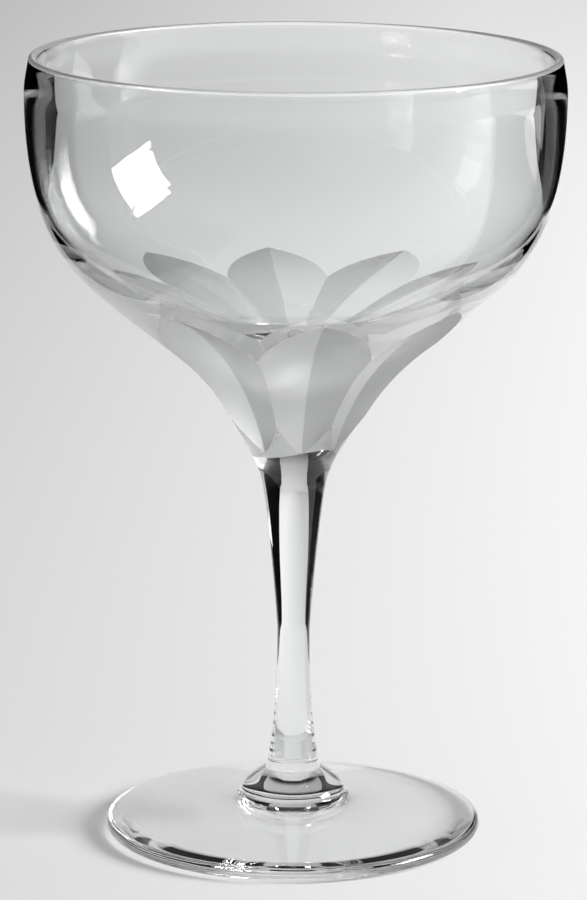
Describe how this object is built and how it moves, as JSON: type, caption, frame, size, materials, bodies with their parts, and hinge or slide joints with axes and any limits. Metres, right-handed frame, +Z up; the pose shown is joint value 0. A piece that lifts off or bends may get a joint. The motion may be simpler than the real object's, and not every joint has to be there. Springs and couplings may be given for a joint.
{
  "type": "sherbet glass",
  "caption": "Stemmed sherbet glass of clear crystal: a wide round bowl with a ring of frosted petal cuts round its thick base, a slim drawn stem and a round foot.",
  "frame": {"origin": "middle of the foot on the table", "axes": "+Z up along the axis of the glass, -Y towards the front of the picture, +X to its right"},
  "size_m": [0.0948, 0.0948, 0.14],
  "materials": {
    "bowl_glass": "polished, with ground frosted petals",
    "stem_glass": "polished",
    "foot_glass": "polished"
  },
  "bodies": {
    "root": {"bowl": "bowl_glass", "stem": "stem_glass", "foot": "foot_glass"}
  },
  "joints": []
}
